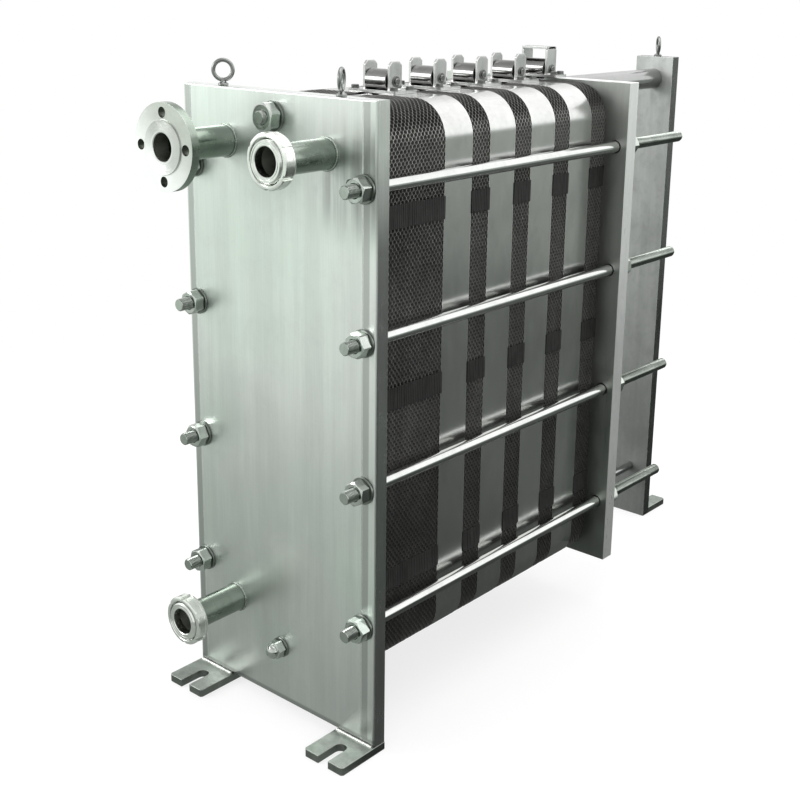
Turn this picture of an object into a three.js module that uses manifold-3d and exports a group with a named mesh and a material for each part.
// Gasketed plate heat exchanger with intermediate connecting grids.
// Millimetres, +Z up. X across the machine, +Y from the front plate to the rear column.
// The front plate stands at the -Y end, on two feet. A carrying bar and a guide bar run
// from it to the rear column, and the plate pack hangs between the front plate and the
// sliding pressure plate, clamped by eight tie rods.
// Pieces are drawn with y = 0 on the front face of the front plate; the root shifts them.
import * as THREE from "three";
import { mergeVertices } from "three/addons/utils/BufferGeometryUtils.js";
import Module from "manifold-3d";

const wasm = await Module();
wasm.setup();

// ---------------------------------------------------------------- driving dimensions
const GAP = 0.3; // clearance between neighbouring pieces
const CUT_OVERRUN = 5; // how far a cutting tool passes the face it cuts

// front plate and feet
const PLATE_HALF_W = 242; // the pressure plate is as wide
const FRONT_T = 32;
const FRONT_TOP = 1200;
const FOOT_T = 16;
const FOOT_W = 97;
const FOOT_REACH = 84; // in front of the plate
const FOOT_SLOT_W = 24;
const FOOT_SLOT_DEPTH = 58;
const FOOT_CHAMFER = 4;

// rear column
const COLUMN_HALF_W = 51;
const COLUMN_Y = 1290;
const COLUMN_T = 28;
const COLUMN_REAR = COLUMN_Y + COLUMN_T;
const COLUMN_TOP = 1210;
const COLUMN_FOOT_TIP = COLUMN_REAR + 86;
const COLUMN_FOOT_OVERLAP = 26; // how far the foot runs in under the column

// tie rods (M24)
const ROD_R = 12;
const ROD_X = 214;
const ROD_Z = [255, 521, 790, 1054];
const ROD_FRONT = -50;
const ROD_REAR = 1041;
const ROD_HOLE_R = ROD_R + 1.5;

// nuts, each in one piece with its washer
const NUT_CLEARANCE = 0.5; // between thread and bore
const ROD_NUT = {
  acrossFlats: 41,
  thickness: 22,
  washerR: 25,
  washerT: 4,
  boreR: ROD_R + NUT_CLEARANCE,
};

// bars, with thinner ends that pass through the front plate and the column
const CARRYING_BAR = {
  name: "carrying_bar",
  z: 1157,
  radius: 24,
  endR: 12,
  frontReach: 36, // of the thin end, beyond the front plate
  rearReach: 30, // of the thin end, beyond the column
  nut: { acrossFlats: 46, thickness: 24, washerR: 27, washerT: 5 },
};
const GUIDE_BAR = {
  name: "guide_bar",
  z: 134,
  radius: 12,
  endR: 8,
  frontReach: 27,
  rearReach: 24,
  nut: { acrossFlats: 32, thickness: 18, washerR: 20, washerT: 4 },
};
const BARS = [CARRYING_BAR, GUIDE_BAR];
const BAR_END_CLEARANCE = 1;
const TOP_SLOT_R = CARRYING_BAR.radius + 3;
const BOTTOM_SLOT_R = GUIDE_BAR.radius + 2;

// plate pack
const PACK_HALF_W = 188;
const PACK_BOTTOM = 124;
const PACK_TOP = 1182;
const PACK_R_TOP = 72; // corner radii
const PACK_R_BOTTOM = 62;
// Where the pieces meet along Y: section, grid, section and so on, ending with a section.
const PACK_Y = [FRONT_T, 242, 322, 375, 455, 508, 588, 641, 721, 774.5];
const SECTION_COUNT = PACK_Y.length / 2;

// connecting grids
const GRID_WALL = 12;
const GRID_WEB = 10;
const GRID_COLLAR_R = 42;
const TOP_BLOCK = 42; // block round the top slot: half width, and reach below the bar axis
const BOTTOM_BLOCK = 28; // block round the bottom slot: the same, above the bar axis

// pressure plate
const PRESS_Y = 775;
const PRESS_T = 35;
const PRESS_OVERHANG = 5; // above and below the pack
const PRESS_BOTTOM = PACK_BOTTOM - PRESS_OVERHANG;
const PRESS_TOP = PACK_TOP + PRESS_OVERHANG;

// ports
const PORT_X = 126;
const PORT_Z_TOP = 1104;
const PORT_Z_BOTTOM = 198;
const PORT_R = 25; // DN50 bore
const FLANGE_PIPE_R = 28.5;
const UNION_PIPE_R = 27;
const PIPE_CLEARANCE = 1;
const FLANGE_FACE_Y = -146;
const UNION_FACE_Y = -140;
const PORTS = [
  [-PORT_X, PORT_Z_TOP],
  [PORT_X, PORT_Z_TOP],
  [-PORT_X, PORT_Z_BOTTOM],
  [PORT_X, PORT_Z_BOTTOM],
];
// The union ports: name ending, x, z.
const UNIONS = [
  ["top", PORT_X, PORT_Z_TOP],
  ["bottom", -PORT_X, PORT_Z_BOTTOM],
];

// lifting eyes
const EYE_X = 147;
const EYE_RING_R = 17.5;
const EYE_WIRE_R = 3.7;
const EYE_SHANK_R = 6;
const EYE_DEPTH_FRONT = 22; // shank length
const EYE_DEPTH_REAR = 20;

// hangers and rollers
const ROLLER_R = 22;
const ROLLER_HALF_L = 26;
const ROLLER_Z = CARRYING_BAR.z + CARRYING_BAR.radius + GAP + ROLLER_R;
const AXLE_R = 6;
const AXLE_CLEARANCE = 0.5;
const CHEEK_IN = 28; // x of the inner face
const CHEEK_T = 6;
const CHEEK_OUT = CHEEK_IN + CHEEK_T;
const CHEEK_HALF_Y = 17;
const AXLE_HALF_L = CHEEK_OUT + 5;
const HANGER_BASE_T = 5.5;
const HANGER_BASE_HALF_X = 60;
const WINDOW_HALF_X = CHEEK_IN - 0.5;
const WINDOW_HALF_Y = 20.5;
const STRAP_T = 5;

// ---------------------------------------------------------------- materials
const steel = ({ name, color, roughness, metalness = 0.9 }) =>
  new THREE.MeshStandardMaterial({ name, color, roughness, metalness });
const MAT = {
  satin: steel({ name: "satin stainless sheet", color: 0xc4cdc6, roughness: 0.42 }),
  bright: steel({ name: "polished bar", color: 0xdde2de, roughness: 0.2 }),
  grid: steel({ name: "grid stainless", color: 0xb4b9b6, roughness: 0.4 }),
  nut: steel({ name: "dark nut", color: 0x6c736c, roughness: 0.45, metalness: 0.8 }),
  fitting: steel({ name: "bright fitting", color: 0xe4e8e2, roughness: 0.25 }),
  pack: steel({
    name: "plate edges and gaskets",
    color: 0x3a3634,
    roughness: 0.7,
    metalness: 0.3,
  }),
  roller: steel({ name: "roller", color: 0x8d9290, roughness: 0.3 }),
};

// ---------------------------------------------------------------- geometry helpers
// Three.js geometry to a Manifold, for the boolean operations.
function solid(geometry) {
  geometry.deleteAttribute("normal");
  geometry.deleteAttribute("uv");
  const merged = mergeVertices(geometry, 1e-4);
  return new wasm.Manifold(
    new wasm.Mesh({
      numProp: 3,
      vertProperties: new Float32Array(merged.attributes.position.array),
      triVerts: new Uint32Array(merged.index.array),
    }),
  );
}

// A Manifold back to three.js geometry.
function geometryOf(manifold) {
  const { numProp, numVert, vertProperties, triVerts } = manifold.getMesh();
  const positions = new Float32Array(numVert * 3);
  for (let i = 0; i < numVert; i++)
    positions.set(vertProperties.subarray(i * numProp, i * numProp + 3), i * 3);
  const geometry = new THREE.BufferGeometry();
  geometry.setAttribute("position", new THREE.BufferAttribute(positions, 3));
  geometry.setIndex(new THREE.BufferAttribute(new Uint32Array(triVerts), 1));
  return geometry;
}

// Boxes and cylinders take a [low, high] range along each axis they span.
const range = (a, b) => [Math.min(a, b), Math.max(a, b)];
const around = (centre, half) => [centre - half, centre + half];
const box = ([x0, x1], [y0, y1], [z0, z1]) =>
  new THREE.BoxGeometry(x1 - x0, y1 - y0, z1 - z0).translate(
    (x0 + x1) / 2,
    (y0 + y1) / 2,
    (z0 + z1) / 2,
  );
const cylinderY = (x, z, radius, [y0, y1], segments) =>
  new THREE.CylinderGeometry(radius, radius, y1 - y0, segments)
    .translate(x, (y0 + y1) / 2, z);
const cylinderX = (y, z, radius, [x0, x1], segments) =>
  new THREE.CylinderGeometry(radius, radius, x1 - x0, segments)
    .rotateZ(-Math.PI / 2)
    .translate((x0 + x1) / 2, y, z);
const cylinderZ = (x, y, radius, [z0, z1], segments) =>
  new THREE.CylinderGeometry(radius, radius, z1 - z0, segments)
    .rotateX(Math.PI / 2)
    .translate(x, y, (z0 + z1) / 2);

// A shape drawn in X and Z, extruded from y0 to y1.
const extrudeY = (shape, y0, y1, curveSegments) =>
  new THREE.ExtrudeGeometry(shape, { depth: y1 - y0, bevelEnabled: false, curveSegments })
    .rotateX(Math.PI / 2)
    .translate(0, y1, 0);

// A profile of [radius, y] points turned about the Y axis, closed on itself.
function turnY(profile, x, z, segments) {
  const points = profile.map(([radius, y]) => new THREE.Vector2(radius, y));
  if (THREE.ShapeUtils.isClockWise(points)) points.reverse();
  points.push(points[0].clone());
  return new THREE.LatheGeometry(points, segments).translate(x, 0, z);
}

function circleHole(x, z, radius) {
  const hole = new THREE.Path();
  hole.absarc(x, z, radius, 0, Math.PI * 2, true);
  return hole;
}
const rodHoles = ROD_Z.flatMap((z) =>
  [-ROD_X, ROD_X].map((x) => circleHole(x, z, ROD_HOLE_R)),
);

// An upright rectangle with holes, among them those for the thin ends of the two bars.
function uprightShape(halfW, bottom, top, holes) {
  const shape = new THREE.Shape();
  shape.moveTo(-halfW, bottom);
  shape.lineTo(halfW, bottom);
  shape.lineTo(halfW, top);
  shape.lineTo(-halfW, top);
  shape.closePath();
  const barHoles = BARS.map((bar) => circleHole(0, bar.z, bar.endR + BAR_END_CLEARANCE));
  shape.holes.push(...holes, ...barHoles);
  return shape;
}

// Outline of the pack pieces and the pressure plate, open at the two bar slots.
function slottedOutline(halfW, bottom, top, topR, bottomR) {
  const shape = new THREE.Shape();
  shape.moveTo(BOTTOM_SLOT_R, bottom);
  shape.lineTo(halfW - bottomR, bottom);
  if (bottomR > 0)
    shape.absarc(halfW - bottomR, bottom + bottomR, bottomR, -Math.PI / 2, 0, false);
  shape.lineTo(halfW, top - topR);
  if (topR > 0) shape.absarc(halfW - topR, top - topR, topR, 0, Math.PI / 2, false);
  shape.lineTo(TOP_SLOT_R, top);
  shape.lineTo(TOP_SLOT_R, CARRYING_BAR.z);
  shape.absarc(0, CARRYING_BAR.z, TOP_SLOT_R, 0, -Math.PI, true);
  shape.lineTo(-TOP_SLOT_R, top);
  shape.lineTo(-halfW + topR, top);
  if (topR > 0)
    shape.absarc(-halfW + topR, top - topR, topR, Math.PI / 2, Math.PI, false);
  shape.lineTo(-halfW, bottom + bottomR);
  if (bottomR > 0)
    shape.absarc(-halfW + bottomR, bottom + bottomR, bottomR, Math.PI, 1.5 * Math.PI, false);
  shape.lineTo(-BOTTOM_SLOT_R, bottom);
  shape.lineTo(-BOTTOM_SLOT_R, GUIDE_BAR.z);
  shape.absarc(0, GUIDE_BAR.z, BOTTOM_SLOT_R, Math.PI, 0, true);
  shape.closePath();
  return shape;
}
const packOutline = () =>
  slottedOutline(PACK_HALF_W, PACK_BOTTOM, PACK_TOP, PACK_R_TOP, PACK_R_BOTTOM);

// ---------------------------------------------------------------- groups
const root = new THREE.Group();
root.name = "plate_heat_exchanger";
// The origin is on the floor, in the middle of the machine's length and width.
root.position.y = -(FLANGE_FACE_Y + COLUMN_FOOT_TIP) / 2;
const frameGroup = new THREE.Group();
const packGroup = new THREE.Group();
root.add(frameGroup, packGroup);

function add(name, geometry, material, parent) {
  const mesh = new THREE.Mesh(geometry, material);
  mesh.name = name;
  parent.add(mesh);
  return mesh;
}

// ---------------------------------------------------------------- front plate and feet
// Cutter for the hole that takes a lifting eye's shank.
const eyeHole = (x, y, top, depth) =>
  solid(cylinderZ(x, y, EYE_SHANK_R + 0.5, [top - depth - 4, top + CUT_OVERRUN], 16));

function frontPlate() {
  const shape = uprightShape(PLATE_HALF_W, FOOT_T + GAP, FRONT_TOP, [
    ...rodHoles,
    circleHole(-PORT_X, PORT_Z_TOP, FLANGE_PIPE_R + PIPE_CLEARANCE),
    ...UNIONS.map(([, x, z]) => circleHole(x, z, UNION_PIPE_R + PIPE_CLEARANCE)),
  ]);
  let plate = solid(extrudeY(shape, 0, FRONT_T, 8));
  for (const x of [-EYE_X, EYE_X])
    plate = plate.subtract(eyeHole(x, FRONT_T / 2, FRONT_TOP, EYE_DEPTH_FRONT));
  return geometryOf(plate);
}
add("front_plate", frontPlate(), MAT.satin, frameGroup);

// A flat foot with an open slot running in from its tip to a round inner end.
function foot(centreX, halfW, yRoot, yTip) {
  const dir = Math.sign(yTip - yRoot);
  const slotR = FOOT_SLOT_W / 2;
  const slotEndY = yTip - dir * (FOOT_SLOT_DEPTH - slotR);
  const chamferY = yTip - dir * FOOT_CHAMFER;
  const [xLow, xHigh] = around(centreX, halfW);
  const shape = new THREE.Shape();
  shape.moveTo(xLow, yRoot);
  shape.lineTo(xLow, chamferY);
  shape.lineTo(xLow + FOOT_CHAMFER, yTip);
  shape.lineTo(centreX - slotR, yTip);
  shape.lineTo(centreX - slotR, slotEndY);
  shape.absarc(centreX, slotEndY, slotR, Math.PI, 0, dir < 0);
  shape.lineTo(centreX + slotR, yTip);
  shape.lineTo(xHigh - FOOT_CHAMFER, yTip);
  shape.lineTo(xHigh, chamferY);
  shape.lineTo(xHigh, yRoot);
  shape.closePath();
  return new THREE.ExtrudeGeometry(shape, {
    depth: FOOT_T,
    bevelEnabled: false,
    curveSegments: 8,
  });
}
const SIDES = [
  ["left", -1],
  ["right", 1],
];
for (const [sideName, side] of SIDES) {
  const centreX = side * (PLATE_HALF_W - FOOT_W / 2);
  const geometry = foot(centreX, FOOT_W / 2, FRONT_T, -FOOT_REACH);
  add("front_foot_" + sideName, geometry, MAT.satin, frameGroup);
}

// ---------------------------------------------------------------- rear column with its foot
function rearColumn() {
  const shape = uprightShape(COLUMN_HALF_W, 0, COLUMN_TOP, []);
  const footRoot = COLUMN_REAR - COLUMN_FOOT_OVERLAP;
  return geometryOf(
    solid(extrudeY(shape, COLUMN_Y, COLUMN_REAR, 8))
      .add(solid(foot(0, COLUMN_HALF_W, footRoot, COLUMN_FOOT_TIP)))
      .subtract(eyeHole(0, COLUMN_Y + COLUMN_T / 2, COLUMN_TOP, EYE_DEPTH_REAR)),
  );
}
add("rear_column", rearColumn(), MAT.satin, frameGroup);

// ---------------------------------------------------------------- bars
function barGeometry({ z, radius, endR, frontReach, rearReach }) {
  const body = solid(cylinderY(0, z, radius, [FRONT_T + GAP, COLUMN_Y - GAP], 24));
  const ends = solid(cylinderY(0, z, endR, [-frontReach, COLUMN_REAR + rearReach], 16));
  return geometryOf(body.add(ends));
}
for (const bar of BARS) add(bar.name, barGeometry(bar), MAT.bright, frameGroup);

// ---------------------------------------------------------------- tie rods and nuts
// The washer lies on the face at faceY, and the nut points along dir (-1 or 1).
function nut(x, z, faceY, dir, { acrossFlats, thickness, washerR, washerT, boreR }) {
  const washerY = faceY + dir * GAP;
  const hexY = washerY + dir * washerT;
  const endY = hexY + dir * thickness;
  const overlap = dir * 0.5; // runs the washer into the hexagon
  const overrun = dir * CUT_OVERRUN;
  const cornerR = acrossFlats / Math.sqrt(3);
  return geometryOf(
    solid(cylinderY(x, z, washerR, range(washerY, hexY + overlap), 20))
      .add(solid(cylinderY(x, z, cornerR, range(hexY, endY), 6)))
      .subtract(solid(cylinderY(x, z, boreR, range(washerY - overrun, endY + overrun), 16))),
  );
}
for (const [sideName, side] of SIDES)
  ROD_Z.forEach((z, i) => {
    const tag = `${sideName}_${i + 1}`;
    const x = side * ROD_X;
    const rod = cylinderY(x, z, ROD_R, [ROD_FRONT, ROD_REAR], 24);
    add("tie_rod_" + tag, rod, MAT.bright, frameGroup);
    add("front_nut_" + tag, nut(x, z, 0, -1, ROD_NUT), MAT.nut, frameGroup);
    add("rear_nut_" + tag, nut(x, z, PRESS_Y + PRESS_T, 1, ROD_NUT), MAT.nut, packGroup);
  });
for (const bar of BARS) {
  const size = { ...bar.nut, boreR: bar.endR + NUT_CLEARANCE };
  add(bar.name + "_nut", nut(0, bar.z, 0, -1, size), MAT.nut, frameGroup);
}

// ---------------------------------------------------------------- lifting eyes
// Ring, collar, neck and shank, with z = 0 on the face the collar stands on.
function eyebolt(depth) {
  const ring = new THREE.TorusGeometry(EYE_RING_R, EYE_WIRE_R, 8, 20)
    .rotateX(Math.PI / 2)
    .translate(0, 0, EYE_RING_R + EYE_WIRE_R + 6);
  return geometryOf(
    solid(ring)
      .add(solid(cylinderZ(0, 0, 8, [GAP, 4], 12)))
      .add(solid(cylinderZ(0, 0, 5, [2, 9], 10)))
      .add(solid(cylinderZ(0, 0, EYE_SHANK_R, [-depth, 3], 12))),
  );
}
// Name ending, x, y, z, turn about Z in degrees, shank length.
const EYES = [
  ["front_left", -EYE_X, FRONT_T / 2, FRONT_TOP, 40, EYE_DEPTH_FRONT],
  ["front_right", EYE_X, FRONT_T / 2, FRONT_TOP, -58, EYE_DEPTH_FRONT],
  ["rear", 0, COLUMN_Y + COLUMN_T / 2, COLUMN_TOP, -52, EYE_DEPTH_REAR],
];
for (const [tag, x, y, z, turn, depth] of EYES) {
  const eye = add("eyebolt_" + tag, eyebolt(depth), MAT.nut, frameGroup);
  eye.position.set(x, y, z);
  eye.rotation.z = THREE.MathUtils.degToRad(turn);
}

// ---------------------------------------------------------------- ports on the front plate
// [radius, y] from the bore at the outer end, through the plate and back along the outside,
// with a cone against the plate's front face.
const pipeProfile = (faceY, pipeR) => [
  [PORT_R, faceY],
  [PORT_R, FRONT_T - GAP],
  [pipeR, FRONT_T - GAP],
  [pipeR, -GAP],
  [pipeR + 5, -GAP],
  [pipeR, -5.5],
];

function flangedPort() {
  const flangeR = 77.5;
  const flangeT = 16;
  const raisedFaceR = 48;
  const boltCount = 4;
  const boltCircleR = 60;
  const boltHoleR = 9.5;
  const flangeFront = FLANGE_FACE_Y + 3; // behind the raised face
  const flangeBack = flangeFront + flangeT;
  const profile = [
    ...pipeProfile(FLANGE_FACE_Y, FLANGE_PIPE_R),
    [FLANGE_PIPE_R, flangeBack + 6],
    [33, flangeBack],
    [flangeR, flangeBack],
    [flangeR, flangeFront],
    [raisedFaceR, flangeFront],
    [raisedFaceR, FLANGE_FACE_Y],
  ];
  let port = solid(turnY(profile, -PORT_X, PORT_Z_TOP, 28));
  const cut = [FLANGE_FACE_Y - CUT_OVERRUN, FLANGE_FACE_Y + flangeT + 10];
  for (let i = 0; i < boltCount; i++) {
    const angle = (i * 2 * Math.PI) / boltCount;
    const x = -PORT_X + boltCircleR * Math.cos(angle);
    const z = PORT_Z_TOP + boltCircleR * Math.sin(angle);
    port = port.subtract(solid(cylinderY(x, z, boltHoleR, cut, 12)));
  }
  return geometryOf(port);
}
add("flanged_port", flangedPort(), MAT.fitting, frameGroup);

// A pipe with a cone-backed collar at its outer end.
function unionPipe(x, z) {
  const profile = [
    ...pipeProfile(UNION_FACE_Y, UNION_PIPE_R),
    [UNION_PIPE_R, UNION_FACE_Y + 21],
    [36.5, UNION_FACE_Y + 11.5],
    [36.5, UNION_FACE_Y + 3],
    [34, UNION_FACE_Y],
  ];
  return geometryOf(solid(turnY(profile, x, z, 24)));
}

// A round nut over the collar, with slots for a hook spanner.
function unionNut(x, z) {
  const nutR = 47.5;
  const slotFloorR = 43.5;
  const slotHalfW = 4.5;
  const slotCount = 6;
  // radius, y behind the union face
  const profile = [
    [39, 2],
    [39, 13],
    [29.5, 23.5],
    [29.5, 27],
    [42, 27],
    [nutR, 22],
    [nutR, 6],
    [slotFloorR, 2],
  ].map(([radius, y]) => [radius, UNION_FACE_Y + y]);
  let ring = solid(turnY(profile, x, z, 24));
  const cut = [UNION_FACE_Y - 2, UNION_FACE_Y + 30];
  for (let i = 0; i < slotCount; i++) {
    const angle = (i * 2 * Math.PI) / slotCount + Math.PI / 6;
    const slot = box([slotFloorR, nutR + 2.5], cut, around(0, slotHalfW))
      .rotateY(-angle)
      .translate(x, 0, z);
    ring = ring.subtract(solid(slot));
  }
  return geometryOf(ring);
}
for (const [tag, x, z] of UNIONS)
  add("union_pipe_" + tag, unionPipe(x, z), MAT.fitting, frameGroup);
for (const [tag, x, z] of UNIONS)
  add("union_nut_" + tag, unionNut(x, z), MAT.fitting, frameGroup);

// ---------------------------------------------------------------- pressure plate
function pressurePlate() {
  const shape = slottedOutline(PLATE_HALF_W, PRESS_BOTTOM, PRESS_TOP, 0, 0);
  shape.holes.push(...rodHoles);
  return extrudeY(shape, PRESS_Y, PRESS_Y + PRESS_T, 6);
}
add("pressure_plate", pressurePlate(), MAT.satin, packGroup);

// ---------------------------------------------------------------- plate sections
// Each section is one block, standing for its stack of corrugated plates.
function plateSection(y0, y1) {
  const shape = packOutline();
  shape.holes.push(...PORTS.map(([x, z]) => circleHole(x, z, PORT_R)));
  return extrudeY(shape, y0, y1, 3);
}
for (let i = 0; i < SECTION_COUNT; i++) {
  const geometry = plateSection(PACK_Y[2 * i] + GAP / 2, PACK_Y[2 * i + 1] - GAP / 2);
  add(`plate_section_${i + 1}`, geometry, MAT.pack, packGroup);
}

// ---------------------------------------------------------------- connecting grids
// Inside of the grid's rim, stepping round the blocks at the two slots.
function rimOpening() {
  const halfW = PACK_HALF_W - GRID_WALL;
  const bottom = PACK_BOTTOM + GRID_WALL;
  const top = PACK_TOP - GRID_WALL;
  const topR = PACK_R_TOP - GRID_WALL;
  const bottomR = PACK_R_BOTTOM - GRID_WALL;
  const path = new THREE.Path();
  path.moveTo(-TOP_BLOCK, top);
  path.lineTo(-TOP_BLOCK, CARRYING_BAR.z - TOP_BLOCK);
  path.lineTo(TOP_BLOCK, CARRYING_BAR.z - TOP_BLOCK);
  path.lineTo(TOP_BLOCK, top);
  path.lineTo(halfW - topR, top);
  path.absarc(halfW - topR, top - topR, topR, Math.PI / 2, 0, true);
  path.lineTo(halfW, bottom + bottomR);
  path.absarc(halfW - bottomR, bottom + bottomR, bottomR, 0, -Math.PI / 2, true);
  path.lineTo(BOTTOM_BLOCK, bottom);
  path.lineTo(BOTTOM_BLOCK, GUIDE_BAR.z + BOTTOM_BLOCK);
  path.lineTo(-BOTTOM_BLOCK, GUIDE_BAR.z + BOTTOM_BLOCK);
  path.lineTo(-BOTTOM_BLOCK, bottom);
  path.lineTo(-halfW + bottomR, bottom);
  path.absarc(-halfW + bottomR, bottom + bottomR, bottomR, 1.5 * Math.PI, Math.PI, true);
  path.lineTo(-halfW, top - topR);
  path.absarc(-halfW + topR, top - topR, topR, Math.PI, Math.PI / 2, true);
  path.closePath();
  return path;
}

// A deep rim with a web across its middle, four port collars and a solid block around
// each bar slot.
function grid(y0, y1) {
  const rim = packOutline();
  rim.holes.push(rimOpening());
  const [web0, web1] = around((y0 + y1) / 2, GRID_WEB / 2);
  let body = solid(extrudeY(rim, y0, y1, 3)).add(
    solid(extrudeY(packOutline(), web0, web1, 3)),
  );
  const cut = [y0 - CUT_OVERRUN, y1 + CUT_OVERRUN];
  for (const [x, z] of PORTS)
    body = body
      .add(solid(cylinderY(x, z, GRID_COLLAR_R, [y0, y1], 12)))
      .subtract(solid(cylinderY(x, z, PORT_R, cut, 12)));
  return geometryOf(body);
}
const gridMiddles = [];
for (let i = 0; i < SECTION_COUNT - 1; i++) {
  const y0 = PACK_Y[2 * i + 1] + GAP / 2;
  const y1 = PACK_Y[2 * i + 2] - GAP / 2;
  gridMiddles.push((y0 + y1) / 2);
  add(`grid_${i + 1}`, grid(y0, y1), MAT.grid, packGroup);
}

// ---------------------------------------------------------------- hangers and rollers
// A base plate with a window for the roller lies on the piece below, across the bar.
// Two cheeks stand on it and hold the roller's axle. A strap may join their tops.
function hanger({ y, seatZ, baseHalfY, top, strap }) {
  const z0 = seatZ + GAP;
  const z1 = z0 + HANGER_BASE_T;
  const cheekY = around(y, CHEEK_HALF_Y);
  const window = box(around(0, WINDOW_HALF_X), around(y, WINDOW_HALF_Y), [z0 - 2, z1 + 2]);
  let body = solid(
    box(around(0, HANGER_BASE_HALF_X), around(y, baseHalfY), [z0, z1]),
  ).subtract(solid(window));
  for (const side of [-1, 1]) {
    const cheekX = range(side * CHEEK_IN, side * CHEEK_OUT);
    body = body.add(solid(box(cheekX, cheekY, [z0 + 1, top])));
  }
  if (strap) body = body.add(solid(box(around(0, CHEEK_OUT), cheekY, [top - STRAP_T, top])));
  const axleHole = cylinderX(y, ROLLER_Z, AXLE_R + AXLE_CLEARANCE, around(0, 50), 12);
  return geometryOf(body.subtract(solid(axleHole)));
}
function roller(y) {
  const wheel = solid(cylinderX(y, ROLLER_Z, ROLLER_R, around(0, ROLLER_HALF_L), 24));
  const axle = solid(cylinderX(y, ROLLER_Z, AXLE_R, around(0, AXLE_HALF_L), 12));
  return geometryOf(wheel.add(axle));
}
gridMiddles.forEach((y, i) => {
  const geometry = hanger({ y, seatZ: PACK_TOP, baseHalfY: 32, top: 1240, strap: false });
  add(`grid_hanger_${i + 1}`, geometry, MAT.satin, packGroup);
  add(`grid_roller_${i + 1}`, roller(y), MAT.roller, packGroup);
});
const pressMiddle = PRESS_Y + PRESS_T / 2;
add(
  "pressure_plate_hanger",
  hanger({ y: pressMiddle, seatZ: PRESS_TOP, baseHalfY: 22, top: 1251, strap: true }),
  MAT.satin,
  packGroup,
);
add("pressure_plate_roller", roller(pressMiddle), MAT.roller, packGroup);

export default root;
